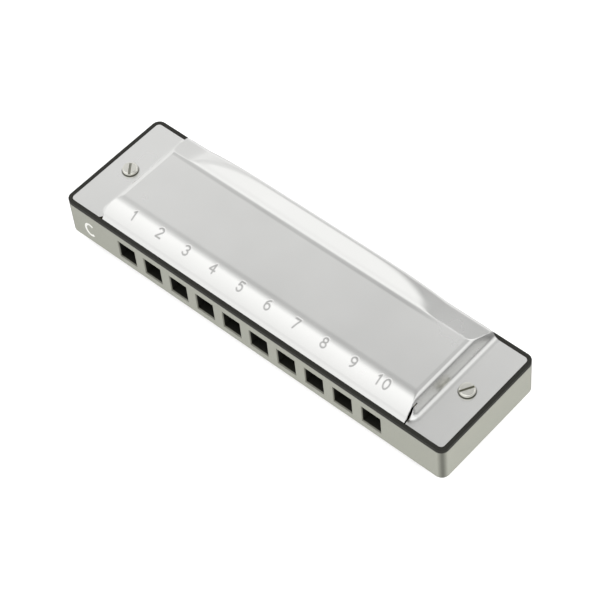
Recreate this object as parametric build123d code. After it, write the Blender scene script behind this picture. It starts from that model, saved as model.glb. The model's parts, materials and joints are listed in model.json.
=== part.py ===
from build123d import *
import math
import os

# Ten-hole harmonica: comb, black top frame, two brass reed plates with twenty free reeds,
# two pressed cover plates, two slotted bolts with nuts.
#
# Frame: X runs along the row of holes (hole 1 at -X), Y runs from the mouth side (-Y) to the
# open back (+Y), Z is up. The origin is the middle of the face the instrument rests on.
# Every length is in millimetres.

os.makedirs("parts", exist_ok=True)

# ---- body ----
BODY_LENGTH = 103.5
BODY_DEPTH = 28.9
BODY_CORNER_R = 1.85
COMB_HEIGHT = 8.76
FRAME_THICK = 0.87
RIM_WIDTH = 0.85
COMB_EDGE_R = 0.3

# ---- row of holes ----
HOLE_COUNT = 10
HOLE_PITCH = 7.5
HOLE_WIDTH = 5.04
HOLE_HEIGHT = 5.10
HOLE_BOTTOM = 1.93
FIRST_HOLE_FROM_END = 15.25
FRONT_WALL = 3.0
CHAMBER_END_GAP = 0.8

# ---- sheet parts ----
PLATE_THICK = 0.9
SHEET_THICK = 0.35
FIT_GAP = 0.1
TAB_BELOW_RIM = 0.03

# ---- cover plate, heights are above its flat end tabs ----
COVER_RISE = 3.7
SLOPE_ANGLE = 52.0
SLOPE_STRAIGHT = 1.2
SLOPE_TOP_Y = 6.9
CREASE_Y = 22.2
REAR_EDGE_Y = 28.6
REAR_DIP_ANGLE = 7.0
HOOD_DROP_ANGLE = 19.5
HOOD_ARCH_HALF = 35.0
HOOD_ARCH_RISE = 1.25
CREST_FROM_END = 11.8
RAMP_ANGLE = 66.0
RAMP_CREST_R = 1.4
RAMP_FOOT_R = 1.5
SLIT_FROM_END = 10.35
SLIT_WIDTH = 0.2
SLIT_END_Y = 5.0
SLIT_FOOT_WIDTH = 0.65
SLIT_WIDENS_Y = 1.9
END_FRONT_Y = 1.8
FLARE_FROM_END = 9.2
FLARE_FULL_FROM_END = 11.6
HEM_DEPTH = 1.0
HEM_HALF_LENGTH = 38.0
RIM_CLEARANCE = 0.08

# ---- reeds ----
REED_WIDTH = 2.0
REED_THICK = 0.2
REED_SIDE_GAP = 0.06
REED_ROOT_GAP = 0.05
BLOW_LENGTH_FIRST = 15.5
BLOW_LENGTH_LAST = 10.0
BLOW_TIP_Y = 4.6
DRAW_LENGTH_FIRST = 15.0
DRAW_LENGTH_LAST = 9.5
DRAW_ROOT_Y = 6.6
PAD_WIDTH = 3.0
PAD_LENGTH = 3.2
PAD_THICK = 0.3
RIVET_D = 1.3
RIVET_HEAD_D = 1.9
RIVET_HEAD_H = 0.2

# ---- fixings ----
BOLT_FROM_END = 5.55
BOLT_Y = 14.4
BOLT_D = 2.0
BOLT_HOLE_D = 2.2
BOLT_HEAD_D = 3.45
BOLT_HEAD_H = 0.9
BOLT_HEAD_EDGE_R = 0.35
BOLT_SLOT_WIDTH = 0.55
BOLT_SLOT_DEPTH = 0.4
LEFT_SLOT_ANGLE = -52.0
RIGHT_SLOT_ANGLE = 60.0
NUT_ACROSS_FLATS = 3.6
NUT_THICK = 1.4
NAIL_D = 1.0
NAIL_LENGTH = 3.4
NAIL_HEAD_D = 1.8
NAIL_HEAD_H = 0.25
NAIL_Y = 26.2
NAIL_WALLS = (0, 3, 7, 10)

# ---- levels and places that follow from the sizes above ----
COMB_BOTTOM_Z = COVER_RISE - TAB_BELOW_RIM
COMB_TOP_Z = COMB_BOTTOM_Z + COMB_HEIGHT
BODY_TOP_Z = COMB_TOP_Z + FRAME_THICK
BODY_MIDDLE_Z = (COMB_BOTTOM_Z + BODY_TOP_Z) / 2
UPPER_TAB_Z = BODY_TOP_Z - TAB_BELOW_RIM
LOWER_TAB_Z = COMB_BOTTOM_Z + TAB_BELOW_RIM
UPPER_PLATE_Z = UPPER_TAB_Z - SHEET_THICK - PLATE_THICK
LOWER_PLATE_Z = LOWER_TAB_Z + SHEET_THICK
CHAMBER_FLOOR_Z = LOWER_PLATE_Z + PLATE_THICK
CHAMBER_ROOF_Z = UPPER_PLATE_Z
FRONT_Y = -BODY_DEPTH / 2
INSET = RIM_WIDTH + FIT_GAP
BIG = 60.0


def from_front(distance):
    """Y of a place measured back from the mouth side."""
    return FRONT_Y + distance


def hole_x(index):
    """Centre of a mouth hole; index 0 is hole 1."""
    return -BODY_LENGTH / 2 + FIRST_HOLE_FROM_END + HOLE_WIDTH / 2 + index * HOLE_PITCH


def along_row(index, first, last):
    """A length that shrinks evenly from hole 1 to hole 10."""
    return first + (last - first) * index / (HOLE_COUNT - 1)


def block(x0, x1, y0, y1, z0, z1):
    """A box between six planes."""
    middle = ((x0 + x1) / 2, (y0 + y1) / 2, (z0 + z1) / 2)
    return Pos(*middle) * Box(x1 - x0, y1 - y0, z1 - z0)


def slab(inset, z0, z1):
    """The body outline, moved inwards by an inset, as a slab between two heights."""
    outline = RectangleRounded(
        BODY_LENGTH - 2 * inset, BODY_DEPTH - 2 * inset, BODY_CORNER_R - inset
    )
    return Pos(0, 0, z0) * extrude(outline, z1 - z0)


def rod(diameter, x, y, z0, z1):
    """An upright cylinder between two heights."""
    return Pos(x, y, (z0 + z1) / 2) * Cylinder(diameter / 2, z1 - z0)


def bolt_places():
    """The two bolt centres, left then right."""
    reach = BODY_LENGTH / 2 - BOLT_FROM_END
    return [(-reach, from_front(BOLT_Y)), (reach, from_front(BOLT_Y))]


def nail_places():
    """Nails stand in the solid rear wall of the comb, behind chosen chamber walls."""
    return [(hole_x(wall) - HOLE_PITCH / 2, from_front(NAIL_Y)) for wall in NAIL_WALLS]


# ---- body parts ----
def chamber_end(index):
    """How far back one chamber reaches: past the pad of its blow reed."""
    length = along_row(index, BLOW_LENGTH_FIRST, BLOW_LENGTH_LAST)
    return BLOW_TIP_Y + length + REED_ROOT_GAP + PAD_LENGTH + CHAMBER_END_GAP


def make_comb():
    """Moulded comb with ten mouth holes, ten chambers and a recess above and below."""
    comb = slab(0, COMB_BOTTOM_Z, COMB_TOP_Z)
    comb = fillet(comb.faces().sort_by(Axis.Z)[0].edges(), COMB_EDGE_R)
    comb -= slab(RIM_WIDTH, CHAMBER_ROOF_Z, COMB_TOP_Z)
    comb -= slab(RIM_WIDTH, COMB_BOTTOM_Z, CHAMBER_FLOOR_Z)
    hole_z = COMB_BOTTOM_Z + HOLE_BOTTOM
    for index in range(HOLE_COUNT):
        x0 = hole_x(index) - HOLE_WIDTH / 2
        x1 = x0 + HOLE_WIDTH
        inner = from_front(FRONT_WALL)
        comb -= block(x0, x1, FRONT_Y, inner, hole_z, hole_z + HOLE_HEIGHT)
        comb -= block(x0, x1, inner, from_front(chamber_end(index)), CHAMBER_FLOOR_Z, CHAMBER_ROOF_Z)
    for x, y in bolt_places():
        comb -= rod(BOLT_HOLE_D, x, y, COMB_BOTTOM_Z, COMB_TOP_Z)
    depth = NAIL_LENGTH - PLATE_THICK
    for x, y in nail_places():
        comb -= rod(NAIL_D, x, y, CHAMBER_ROOF_Z - depth, CHAMBER_ROOF_Z)
        comb -= rod(NAIL_D, x, y, CHAMBER_FLOOR_Z, CHAMBER_FLOOR_Z + depth)
    return comb


def make_upper_frame():
    """Thin black frame lying on the comb's upper rim."""
    return slab(0, COMB_TOP_Z, BODY_TOP_Z) - slab(RIM_WIDTH, COMB_TOP_Z, BODY_TOP_Z)


# ---- reeds and reed plates ----
def blow_root(index):
    """Y of the root of a blow reed; its tip points to the mouth side."""
    return from_front(BLOW_TIP_Y + along_row(index, BLOW_LENGTH_FIRST, BLOW_LENGTH_LAST))


def draw_root(index):
    """Y of the root of a draw reed; its tip points to the back."""
    return from_front(DRAW_ROOT_Y)


def draw_length(index):
    return along_row(index, DRAW_LENGTH_FIRST, DRAW_LENGTH_LAST)


def tongue(index, root_y, tip_y, z0):
    """One free reed: a thin brass strip."""
    x0 = hole_x(index) - REED_WIDTH / 2
    low, high = sorted((root_y, tip_y))
    return block(x0, x0 + REED_WIDTH, low, high, z0, z0 + REED_THICK)


def slot(index, root_y, tip_y, z0):
    """The slot a reed swings through."""
    half = REED_WIDTH / 2 + REED_SIDE_GAP
    away = REED_SIDE_GAP if tip_y > root_y else -REED_SIDE_GAP
    low, high = sorted((root_y - away, tip_y + away))
    x = hole_x(index)
    return block(x - half, x + half, low, high, z0, z0 + PLATE_THICK)


def blow_reed(index):
    """Blow reeds lie under the upper plate, inside the chambers."""
    z0 = UPPER_PLATE_Z - REED_THICK
    return tongue(index, blow_root(index), from_front(BLOW_TIP_Y), z0)


def draw_reed(index):
    """Draw reeds lie under the lower plate, outside the chambers."""
    z0 = LOWER_PLATE_Z - REED_THICK
    return tongue(index, draw_root(index), draw_root(index) + draw_length(index), z0)


def blow_pad_centre(index):
    return (hole_x(index), blow_root(index) + REED_ROOT_GAP + PAD_LENGTH / 2)


def draw_pad_centre(index):
    return (hole_x(index), draw_root(index) - REED_ROOT_GAP - PAD_LENGTH / 2)


def reed_pad(centre, plate_z):
    """The thick end of a reed, held flat against the underside of its plate."""
    x, y = centre
    pad = block(
        x - PAD_WIDTH / 2,
        x + PAD_WIDTH / 2,
        y - PAD_LENGTH / 2,
        y + PAD_LENGTH / 2,
        plate_z - PAD_THICK,
        plate_z,
    )
    return pad - rod(RIVET_D, x, y, plate_z - PAD_THICK, plate_z)


def reed_rivet(centre, plate_z):
    """Rivet through pad and plate, headed on the pad side."""
    x, y = centre
    under = plate_z - PAD_THICK
    head = rod(RIVET_HEAD_D, x, y, under - RIVET_HEAD_H, under)
    return head + rod(RIVET_D, x, y, under, plate_z + PLATE_THICK)


def make_reed_plate(z0, pad_centre, slots):
    """Brass plate with ten slots, rivet holes, bolt holes and nail holes."""
    top = z0 + PLATE_THICK
    plate = slab(INSET, z0, top)
    for cutter in slots:
        plate -= cutter
    for index in range(HOLE_COUNT):
        plate -= rod(RIVET_D, *pad_centre(index), z0, top)
    for x, y in bolt_places():
        plate -= rod(BOLT_HOLE_D, x, y, z0, top)
    for x, y in nail_places():
        plate -= rod(NAIL_D, x, y, z0, top)
    return plate


def upper_slots():
    tip = from_front(BLOW_TIP_Y)
    return [slot(i, blow_root(i), tip, UPPER_PLATE_Z) for i in range(HOLE_COUNT)]


def lower_slots():
    return [
        slot(i, draw_root(i), draw_root(i) + draw_length(i), LOWER_PLATE_Z)
        for i in range(HOLE_COUNT)
    ]


# ---- cover plates ----
def polar(centre, radius, angle):
    """A point on a circle; the angle is in degrees."""
    turn = math.radians(angle)
    return (centre[0] + radius * math.cos(turn), centre[1] + radius * math.sin(turn))


def arc(centre, radius, start, end):
    """A circular arc drawn through its start, middle and end angles."""
    angles = (start, (start + end) / 2, end)
    return ThreePointArc(*[polar(centre, radius, angle) for angle in angles])


def across_profile(inward):
    """Section across the cover (distance from the mouth side, height above the tabs)."""
    slope = math.radians(SLOPE_ANGLE)
    knee_y = INSET + SLOPE_STRAIGHT * math.cos(slope)
    radius = (SLOPE_TOP_Y - knee_y) / math.sin(slope)
    centre = (SLOPE_TOP_Y, COVER_RISE - radius)
    knee = polar(centre, radius - inward, 90 + SLOPE_ANGLE)
    floor = -SHEET_THICK - inward
    foot = (knee[0] - (knee[1] - floor) / math.tan(slope), floor)
    top = COVER_RISE - inward
    back = REAR_EDGE_Y + inward
    dip = (back - CREASE_Y) * math.tan(math.radians(REAR_DIP_ANGLE))
    edges = [
        Line(foot, knee),
        arc(centre, radius - inward, 90 + SLOPE_ANGLE, 90),
        Polyline((SLOPE_TOP_Y, top), (CREASE_Y, top), (back, top - dip), (back, floor), foot),
    ]
    return make_face(Curve() + edges)


def ramp_side(inward):
    """Right half of the section along the cover: crest, steep ramp, foot, tab."""
    crest_x = BODY_LENGTH / 2 - CREST_FROM_END
    turn = math.radians(RAMP_ANGLE)
    crest = (crest_x, COVER_RISE - RAMP_CREST_R)
    fall = COVER_RISE - (RAMP_CREST_R + RAMP_FOOT_R) * (1 - math.cos(turn))
    foot_x = crest_x + (RAMP_CREST_R + RAMP_FOOT_R) * math.sin(turn) + fall / math.tan(turn)
    foot = (foot_x, RAMP_FOOT_R)
    upper = arc(crest, RAMP_CREST_R - inward, 90, 90 - RAMP_ANGLE)
    lower = arc(foot, RAMP_FOOT_R + inward, 270 - RAMP_ANGLE, 270)
    return upper, Line(upper @ 1, lower @ 0), lower, foot_x


def along_profile(inward):
    """Section along the cover: tab, ramp, long flat top, ramp, tab."""
    upper, straight, lower, foot_x = ramp_side(inward)
    right = [upper, straight, lower]
    left = [edge.mirror(Plane.YZ) for edge in right]
    start = upper @ 0
    floor = -SHEET_THICK - inward
    reach = foot_x if inward else BODY_LENGTH / 2 - INSET
    rest = -inward
    edges = [Line((-start.X, start.Y), (start.X, start.Y))] + right + left
    if not inward:
        edges.append(Line((foot_x, rest), (reach, rest)))
        edges.append(Line((-foot_x, rest), (-reach, rest)))
    edges.append(Polyline((reach, rest), (reach, floor), (-reach, floor), (-reach, rest)))
    return make_face(Curve() + edges)


def hood_limit(inward):
    """Everything below the arched hood that drops towards the back edge."""
    drop = math.tan(math.radians(HOOD_DROP_ANGLE))
    start_y = -BIG
    lift = (CREASE_Y - start_y) * drop - inward / math.cos(math.radians(HOOD_DROP_ANGLE))
    level = COVER_RISE + lift
    arch = ThreePointArc(
        (-HOOD_ARCH_HALF, level), (0, level + HOOD_ARCH_RISE), (HOOD_ARCH_HALF, level)
    )
    rest = Polyline(
        (HOOD_ARCH_HALF, level), (BIG, level), (BIG, -BIG), (-BIG, -BIG),
        (-BIG, level), (-HOOD_ARCH_HALF, level),
    )
    section = make_face(Curve() + [arch, rest])
    section = Plane(origin=(0, start_y, 0), x_dir=(1, 0, 0), z_dir=(0, -1, 0)) * section
    direction = Vector(0, 1, -drop)
    return extrude(section, 2 * BIG * direction.length, dir=direction.normalized())


def end_corner(inward):
    """Right front corner outside the slit: the ramp carried forward, then turned a quarter turn."""
    axis_x = BODY_LENGTH / 2 - SLIT_FROM_END
    axis_y = END_FRONT_Y + ramp_side(0)[3] - axis_x
    beyond_axis = Pos(axis_x + BIG / 2, 0) * Rectangle(BIG, BIG)
    section = along_profile(inward) & beyond_axis
    section = Plane(origin=(0, axis_y, 0), x_dir=(1, 0, 0), z_dir=(0, -1, 0)) * section
    corner = revolve(section, Axis((axis_x, axis_y, 0), (0, 0, -1)), 90)
    corner += extrude(section, axis_y - SLIT_END_Y)
    if inward:
        return corner
    return corner + block(axis_x, BODY_LENGTH / 2 - INSET, INSET, SLIT_END_Y, -SHEET_THICK, 0)


def pressed_form(inward):
    """The solid under the outer face of the cover, or under a face moved inwards."""
    across_plane = Plane(origin=(-BIG, 0, 0), x_dir=(0, 1, 0), z_dir=(1, 0, 0))
    across = extrude(across_plane * across_profile(inward), 2 * BIG)
    along_plane = Plane(origin=(0, -BIG, 0), x_dir=(1, 0, 0), z_dir=(0, -1, 0))
    along = extrude(along_plane * along_profile(inward), -2 * BIG)
    form = across & along & hood_limit(inward)
    slit_x = BODY_LENGTH / 2 - SLIT_FROM_END
    form -= block(slit_x, BIG, -BIG, SLIT_END_Y, -BIG, BIG)
    form -= block(-BIG, -slit_x, -BIG, SLIT_END_Y, -BIG, BIG)
    corner = end_corner(inward)
    return form + corner + mirror(corner, Plane.YZ)


def cover_outline():
    """Plan outline: tabs inside the rim, hood reaching back over the rim between the ramps."""
    tabs = RectangleRounded(
        BODY_LENGTH - 2 * INSET, BODY_DEPTH - 2 * INSET, BODY_CORNER_R - INSET
    )
    tabs = Pos(0, BODY_DEPTH / 2) * tabs
    inner_y = BODY_DEPTH - INSET
    wide = BODY_LENGTH / 2 - FLARE_FROM_END
    narrow = BODY_LENGTH / 2 - FLARE_FULL_FROM_END
    hood = make_face(
        Polyline(
            (-wide, inner_y - 1), (wide, inner_y - 1), (wide, inner_y), (narrow, REAR_EDGE_Y),
            (-narrow, REAR_EDGE_Y), (-wide, inner_y), (-wide, inner_y - 1),
        )
    )
    return tabs + hood


def slit_cutter():
    """The slit beside the front slope at the right end, wider near the rim."""
    inner = BODY_LENGTH / 2 - SLIT_FROM_END
    outer = inner + SLIT_WIDTH
    foot = inner + SLIT_FOOT_WIDTH
    outline = make_face(
        Polyline(
            (inner, 0), (foot, 0), (foot, INSET), (outer, SLIT_WIDENS_Y), (outer, SLIT_END_Y),
            (inner, SLIT_END_Y), (inner, 0),
        )
    )
    return Pos(0, 0, -BIG) * extrude(outline, 2 * BIG)


def make_cover():
    """Upper cover with its tab tops at height zero and its mouth side at Y zero."""
    outer = pressed_form(0)
    inner = pressed_form(SHEET_THICK)
    hem_inner = pressed_form(2 * SHEET_THICK)
    half = HEM_HALF_LENGTH
    hem_zone = block(-half, half, REAR_EDGE_Y - HEM_DEPTH, REAR_EDGE_Y, -BIG, BIG)
    cover = (outer - inner) + ((inner - hem_inner) & hem_zone)
    prism = Pos(0, 0, -SHEET_THICK) * extrude(cover_outline(), 2 * COVER_RISE)
    cover = cover & prism
    rim_front = BODY_DEPTH - INSET
    cover -= block(-BIG, BIG, rim_front, BIG, -BIG, TAB_BELOW_RIM + RIM_CLEARANCE)
    slit = slit_cutter()
    cover = cover - slit - mirror(slit, Plane.YZ)
    for x, y in bolt_places():
        cover -= rod(BOLT_HOLE_D, x, y - FRONT_Y, -SHEET_THICK, 0)
    return cover


# ---- fixings ----
def make_bolt(place, slot_angle):
    """Slotted cheese-head bolt, head on the upper tab, shank down through the lower tab."""
    x, y = place
    head_top = UPPER_TAB_Z + BOLT_HEAD_H
    head = rod(BOLT_HEAD_D, x, y, UPPER_TAB_Z, head_top)
    head = fillet(head.edges().sort_by(Axis.Z)[-1], BOLT_HEAD_EDGE_R)
    slot_z = head_top - BOLT_SLOT_DEPTH / 2
    cutter = Box(BOLT_HEAD_D + 1, BOLT_SLOT_WIDTH, BOLT_SLOT_DEPTH)
    head -= Pos(x, y, slot_z) * Rot(0, 0, slot_angle) * cutter
    return head + rod(BOLT_D, x, y, LOWER_TAB_Z - NUT_THICK, UPPER_TAB_Z)


def make_nut(place):
    """Hexagon nut under the lower tab."""
    x, y = place
    radius = NUT_ACROSS_FLATS / 2 / math.cos(math.radians(30))
    nut = extrude(RegularPolygon(radius, 6) - Circle(BOLT_D / 2), NUT_THICK)
    return Pos(x, y, LOWER_TAB_Z - NUT_THICK) * nut


def make_nail(place, face_z, up):
    """Headed nail; up is 1 when the head is above its plate, -1 when it is below."""
    x, y = place
    head = sorted((face_z, face_z + up * NAIL_HEAD_H))
    shank = sorted((face_z, face_z - up * NAIL_LENGTH))
    return rod(NAIL_HEAD_D, x, y, *head) + rod(NAIL_D, x, y, *shank)


def save(name, shape):
    """Write one node."""
    export_step(shape, "parts/" + name + ".step")


def group(shapes):
    """Several separate solids kept in one node."""
    solids = [solid for shape in shapes for solid in shape.solids()]
    return Compound(children=solids)


cover_form = make_cover()
upper_cover = Pos(0, FRONT_Y, UPPER_TAB_Z) * cover_form
lower_cover = Pos(0, 0, LOWER_TAB_Z) * mirror(Pos(0, FRONT_Y, 0) * cover_form, Plane.XY)
left_place, right_place = bolt_places()
holes = range(HOLE_COUNT)

save("comb", make_comb())
save("upper_frame", make_upper_frame())
save("upper_reed_plate", make_reed_plate(UPPER_PLATE_Z, blow_pad_centre, upper_slots()))
save("lower_reed_plate", make_reed_plate(LOWER_PLATE_Z, draw_pad_centre, lower_slots()))
save("upper_cover_plate", upper_cover)
save("lower_cover_plate", lower_cover)
save("left_cover_bolt", make_bolt(left_place, LEFT_SLOT_ANGLE))
save("right_cover_bolt", make_bolt(right_place, RIGHT_SLOT_ANGLE))
save("left_cover_nut", make_nut(left_place))
save("right_cover_nut", make_nut(right_place))
save("blow_reed_pads", group(reed_pad(blow_pad_centre(i), UPPER_PLATE_Z) for i in holes))
save("draw_reed_pads", group(reed_pad(draw_pad_centre(i), LOWER_PLATE_Z) for i in holes))
save("blow_reed_rivets", group(reed_rivet(blow_pad_centre(i), UPPER_PLATE_Z) for i in holes))
save("draw_reed_rivets", group(reed_rivet(draw_pad_centre(i), LOWER_PLATE_Z) for i in holes))
upper_face = UPPER_PLATE_Z + PLATE_THICK
save("upper_plate_nails", group(make_nail(p, upper_face, 1) for p in nail_places()))
save("lower_plate_nails", group(make_nail(p, LOWER_PLATE_Z, -1) for p in nail_places()))
for i in holes:
    save("blow_reed_" + str(i + 1), blow_reed(i))
    save("draw_reed_" + str(i + 1), draw_reed(i))
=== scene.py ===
import json
import math

import bmesh
import bpy
import numpy as np
from mathutils import Matrix, Vector


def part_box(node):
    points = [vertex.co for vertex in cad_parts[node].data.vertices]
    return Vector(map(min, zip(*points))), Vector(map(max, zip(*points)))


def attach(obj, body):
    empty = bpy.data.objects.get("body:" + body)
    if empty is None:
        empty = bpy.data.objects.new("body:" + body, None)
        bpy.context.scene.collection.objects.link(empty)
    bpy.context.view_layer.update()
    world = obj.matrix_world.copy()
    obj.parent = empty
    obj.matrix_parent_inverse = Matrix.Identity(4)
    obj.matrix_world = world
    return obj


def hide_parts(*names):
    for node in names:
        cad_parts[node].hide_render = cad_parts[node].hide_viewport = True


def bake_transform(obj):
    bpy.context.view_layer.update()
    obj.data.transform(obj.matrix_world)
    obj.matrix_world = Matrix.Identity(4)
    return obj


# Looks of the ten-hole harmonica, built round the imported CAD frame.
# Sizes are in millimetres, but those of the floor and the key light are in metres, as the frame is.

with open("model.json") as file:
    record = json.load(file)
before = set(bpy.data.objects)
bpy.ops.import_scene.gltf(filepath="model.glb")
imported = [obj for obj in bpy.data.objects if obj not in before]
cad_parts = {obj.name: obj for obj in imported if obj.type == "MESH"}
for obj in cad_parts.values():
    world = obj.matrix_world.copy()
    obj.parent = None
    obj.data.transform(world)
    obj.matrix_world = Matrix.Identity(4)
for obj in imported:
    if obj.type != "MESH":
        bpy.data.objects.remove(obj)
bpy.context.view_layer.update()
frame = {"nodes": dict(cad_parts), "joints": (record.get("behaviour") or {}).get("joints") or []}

MM = 0.001
BODY = "harmonica_body"

# ---- sizes read from the frame ----
COMB_LOW, COMB_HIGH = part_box("comb")
BODY_LENGTH = (COMB_HIGH.x - COMB_LOW.x) / MM
BODY_DEPTH = (COMB_HIGH.y - COMB_LOW.y) / MM
FRONT_Y = COMB_LOW.y / MM
COMB_BOTTOM = COMB_LOW.z / MM
BODY_CORNER_R = 1.85
COVER_LOW, COVER_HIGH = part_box("upper_cover_plate")
INSET = COVER_LOW.x / MM + BODY_LENGTH / 2
COVER_TOP = COVER_HIGH.z / MM
LOWER_COVER_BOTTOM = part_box("lower_cover_plate")[0].z / MM

# ---- shape of the pressed cover ----
RISE = 3.7
SHEET = 0.35
SLOPE_ANGLE = math.radians(52.0)
SLOPE_STRAIGHT = 1.2
SLOPE_TOP_Y = 6.9
CREASE_Y = 22.2
RIDGE_HEIGHT = 0.07
RIDGE_RUN = 1.1
RIDGE_BACK_RUN = 2.0
RIDGE_END_X = 35.0
RIDGE_FADE = 10.0
CRISP_FROM_X = 30.0
CREASE_BLEND = 0.05
DIP = math.tan(math.radians(7.0))
DROP = math.tan(math.radians(19.5))
ARCH_HALF = 32.5
ARCH_MIDDLE_X = -3.0
ARCH_RISE = 1.26
ARCH_POWER = 5
ARCH_SOFTNESS = 0.12
HOOD_BLEND_AT_ENDS = 0.02
HOOD_BLEND_IN_MIDDLE = 0.25
HOOD_BLEND_GROWS = (0.05, 0.3)
CREST_BLEND = 0.12
CREST_FROM_END = 11.8
RAMP_ANGLE = math.radians(66.0)
CREST_R = 1.4
FOOT_R = 1.5
SLIT_FROM_END = 10.35
SLIT_WIDTH = 0.13
SLIT_END_Y = 5.0
LEFT_SLIT_FOOT_WIDTH = 0.95
RIGHT_SLIT_FOOT_WIDTH = 0.3
SLIT_WIDENS_Y = 1.9
SLIT_FADE = 1.5
END_FRONT_Y = 1.8
FLARE_FROM_END = 9.2
FLARE_FULL_FROM_END = 11.6
TAB_CORNER_R = 0.9
HEM_R = 0.34
HEM_HALF = 38.5
HEM_FOLD = 0.45
HEM_INNER_R = 0.05
HEM_TAPER = 5.0
HEM_END_SIZE = 0.25
HEM_STATIONS = 160
SLOPE_SAMPLE = 0.05
CURL_R = 1.5
CURL_RUN = 0.9
REAR_EDGE_Y = 28.6
FLARE_FROM_Y = 26.6
RIM_GAP = 0.1
RIM_STEP_RUN = 0.7
TAB_REAR_Y = BODY_DEPTH - INSET
BOLT_FROM_END = 5.55
BOLT_X = BODY_LENGTH / 2 - BOLT_FROM_END
BOLT_Y = 14.4
BOLT_HOLE_R = 1.1
BOLT_HEAD_R = 1.725
BOLT_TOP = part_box("left_cover_bolt")[1].z / MM

CREST_X = BODY_LENGTH / 2 - CREST_FROM_END
STRAIGHT_FALL = RISE - (CREST_R + FOOT_R) * (1 - math.cos(RAMP_ANGLE))
RAMP_RUN = (CREST_R + FOOT_R) * math.sin(RAMP_ANGLE) + STRAIGHT_FALL / math.tan(RAMP_ANGLE)
FOOT_X = CREST_X + RAMP_RUN
SLIT_X = BODY_LENGTH / 2 - SLIT_FROM_END
CORNER_Y = END_FRONT_Y + FOOT_X - SLIT_X
UPPER_TAB = COVER_TOP - RISE
LOWER_TAB = LOWER_COVER_BOTTOM + RISE

# ---- row of holes and what is marked by it ----
HOLE_COUNT = 10
HOLE_WIDTH = 5.04
FIRST_HOLE_FROM_END = 15.25
FIRST_HOLE_X = -BODY_LENGTH / 2 + FIRST_HOLE_FROM_END + HOLE_WIDTH / 2
DIGIT_PITCH = 7.55
DIGITS_LEFT_OF_HOLES = 0.62
FIRST_DIGIT_X = FIRST_HOLE_X - DIGITS_LEFT_OF_HOLES
DIGIT_Y = 4.3
DIGIT_HEIGHT = 2.0
DIGIT_WIDTH = 1.5
DIGIT_ADVANCE = 1.3 * DIGIT_WIDTH
GROOVE_FLAT_R = 0.06
GROOVE_EDGE_R = 0.26
GROOVE_DEPTH = 0.06

# ---- key letter on the front, open at its right by so many degrees each way ----
LETTER_X = -BODY_LENGTH / 2 + 6.6
LETTER_Z = COMB_BOTTOM + 4.1
LETTER_HALF_WIDTH = 1.3
LETTER_HALF_HEIGHT = 1.7
LETTER_STROKE = 0.31
LETTER_OPENING = 48
LETTER_STATIONS = 34
INK_THICK = 0.02

# ---- reeds: each narrows to its tip and is thinned in its middle ----
REED_STATIONS = 21
REED_HALF_RING = 5
REED_TAPER = 0.08
REED_TIP_WIDTH = 0.9
REED_THINNING = 0.35
REED_THIN_SPAN = 1.2

# ---- spacing of the grid that the cover is made on ----
FINE = 0.12
CLOSE = 0.14
MEDIUM = 0.2
WIDE = 0.8

# ---- light tent: the dim patch overhead, long in X, and its tones by distance from its middle ----
PATCH_MIDDLE = (-0.10, 0.27, 0.915)
PATCH_STRETCH = (0.45, 1, 1)
PATCH_TONES = (
    (0, 0.45), (0.19, 0.46), (0.229, 0.575), (0.251, 0.71), (0.283, 0.80),
    (0.37, 0.88), (0.43, 1.32), (0.6, 1.2), (1.3, 1.05), (2, 0.9),
)
SKY_AT_ENDS = 0.94
BAND_BEHIND = 0.46
DARK_GROUND = 0.33
FLOOR_SEEN = 0.55
FLOOR_HALF = 3.0
FLOOR_LEVEL = -0.00005
KEY_POSITION = (0.7, -0.1, 0.45)
KEY_SIZE = 0.5
KEY_POWER = 2.6

# ---- where each part of the tent starts and where it is full, by a direction's x, y or z ----
BAND_TOP_Z = (0.60, 0.44)
BAND_FOOT_Z = (0.14, 0.19)
BAND_FRONT_Y = (0.0, 0.3)
BAND_RIGHT_X = (0.5, 0.3)
BAND_LEFT_X = (-0.42, -0.54)
BAND_LEFT_SHARE = 0.45
SKY_RIGHT_X = (0.4, 0.7)
SKY_LEFT_X = (-0.6, -0.8)
FLOOR_SEEN_Z = (-0.15, -0.4)
GROUND_Z = (0.40, 0.05)
GROUND_X = (0.35, 0.6)

# ---- camera: where it looks, from which side and how far, its roll, and its lens ----
CAMERA_TARGET = (5.725, -3.555, COMB_BOTTOM + 9.63)
CAMERA_AZIMUTH = math.radians(46.863)
CAMERA_ELEVATION = math.radians(52.131)
CAMERA_ROLL = math.radians(-6.627)
CAMERA_DISTANCE = 436.3
CAMERA_LENS = 128.977
SENSOR_WIDTH = 36.0


def smooth(edge0, edge1, value):
    """0 up to edge0 and 1 from edge1 on, smooth between; edge1 may be the smaller one."""
    t = np.clip((value - edge0) / (edge1 - edge0), 0, 1)
    return t * t * (3 - 2 * t)


def soft_min(a, b, width):
    """The lower of two heights, rounded over where they are closer than width."""
    h = np.clip(0.5 + 0.5 * (b - a) / width, 0, 1)
    return b * (1 - h) + a * h - width * h * (1 - h)


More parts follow.
